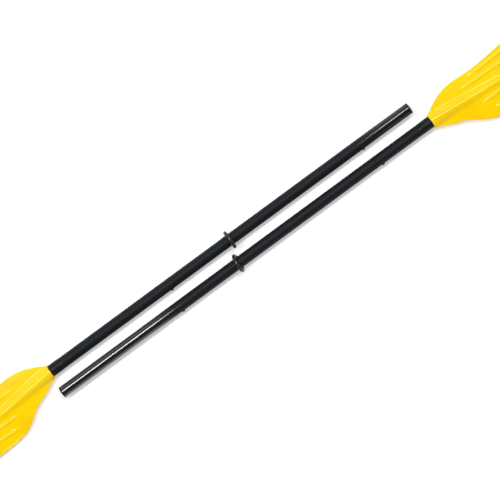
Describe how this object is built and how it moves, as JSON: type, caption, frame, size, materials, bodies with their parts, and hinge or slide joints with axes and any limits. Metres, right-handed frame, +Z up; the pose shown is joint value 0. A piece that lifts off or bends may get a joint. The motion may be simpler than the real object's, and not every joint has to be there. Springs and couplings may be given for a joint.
{
  "type": "kayak paddle",
  "caption": "Take-apart paddle as two separate halves side by side: asymmetric ribbed yellow blades on slim black sectional shafts with spring buttons and loose rings.",
  "frame": {"origin": "centre of the footprint on the surface that the paddle lies on", "axes": "+X along the shafts towards the right half's blade, +Y across them towards the blades' narrow sides, +Z up"},
  "size_m": [1.61, 0.1651, 0.038],
  "materials": {
    "blade_yellow": "semi-gloss moulded",
    "shaft_black": "black satin coating on aluminium tube",
    "collar_black": "gloss",
    "ring_rubber": "shiny rubber",
    "plug_black": "moulded",
    "button_black": "moulded",
    "bare_aluminium": "drawn tube",
    "steel": "bright",
    "blackened_steel": "blackened, slightly worn",
    "foam": "closed-cell foam"
  },
  "bodies": {
    "left_grip_section": {"left_grip_tube": "shaft_black", "left_end_plug": "plug_black", "left_grip_ferrule": "bare_aluminium"},
    "left_middle_section": {"left_middle_tube": "shaft_black", "left_blade_ferrule": "bare_aluminium", "left_float_bung": "foam"},
    "left_blade_section": {"left_blade": "blade_yellow", "left_rivet": "blackened_steel", "left_collar": "collar_black", "left_blade_tube": "shaft_black"},
    "left_ring": {"left_ring": "ring_rubber"},
    "left_grip_button": {"left_grip_button": "button_black", "left_grip_spring": "steel"},
    "left_blade_button": {"left_blade_button": "button_black", "left_blade_spring": "steel"},
    "right_grip_section": {"right_grip_tube": "shaft_black", "right_end_plug": "plug_black", "right_grip_ferrule": "bare_aluminium"},
    "right_middle_section": {"right_middle_tube": "shaft_black", "right_blade_ferrule": "bare_aluminium", "right_float_bung": "foam"},
    "right_blade_section": {"right_blade": "blade_yellow", "right_rivet": "blackened_steel", "right_collar": "collar_black", "right_blade_tube": "shaft_black"},
    "right_ring": {"right_ring": "ring_rubber"},
    "right_grip_button": {"right_grip_button": "button_black", "right_grip_spring": "steel"},
    "right_blade_button": {"right_blade_button": "button_black", "right_blade_spring": "steel"}
  },
  "joints": [
    {"name": "left_grip_pull", "type": "slide", "parent": "left_grip_section", "child": "left_middle_section", "axis": [-1, 0, 0], "range_m": [0, 0.09]},
    {"name": "left_blade_pull", "type": "slide", "parent": "left_middle_section", "child": "left_blade_section", "axis": [-1, 0, 0], "range_m": [0, 0.09]},
    {"name": "left_grip_button_press", "type": "slide", "parent": "left_grip_section", "child": "left_grip_button", "axis": [0, 1, 0], "range_m": [0, 0.0032], "stiffness_N_per_m": 1200, "springref_m": -0.003, "deforming": ["left_grip_spring"]},
    {"name": "left_blade_button_press", "type": "slide", "parent": "left_middle_section", "child": "left_blade_button", "axis": [0, 1, 0], "range_m": [0, 0.0032], "stiffness_N_per_m": 1200, "springref_m": -0.003, "deforming": ["left_blade_spring"]},
    {"name": "right_grip_pull", "type": "slide", "parent": "right_grip_section", "child": "right_middle_section", "axis": [1, 0, 0], "range_m": [0, 0.09]},
    {"name": "right_blade_pull", "type": "slide", "parent": "right_middle_section", "child": "right_blade_section", "axis": [1, 0, 0], "range_m": [0, 0.09]},
    {"name": "right_grip_button_press", "type": "slide", "parent": "right_grip_section", "child": "right_grip_button", "axis": [0, 1, 0], "range_m": [0, 0.0032], "stiffness_N_per_m": 1200, "springref_m": -0.003, "deforming": ["right_grip_spring"]},
    {"name": "right_blade_button_press", "type": "slide", "parent": "right_middle_section", "child": "right_blade_button", "axis": [0, 1, 0], "range_m": [0, 0.0032], "stiffness_N_per_m": 1200, "springref_m": -0.003, "deforming": ["right_blade_spring"]},
    {"name": "left_ring_slide", "type": "slide", "parent": "left_middle_section", "child": "left_ring", "axis": [-1, 0, 0], "range_m": [-0.28, 0.12]},
    {"name": "right_ring_slide", "type": "slide", "parent": "right_middle_section", "child": "right_ring", "axis": [1, 0, 0], "range_m": [-0.115, 0.3]},
    {"name": "halves_apart", "type": "slide", "parent": "left_grip_section", "child": "right_grip_section", "axis": [0, -1, 0], "range_m": [0, 0.3]}
  ]
}
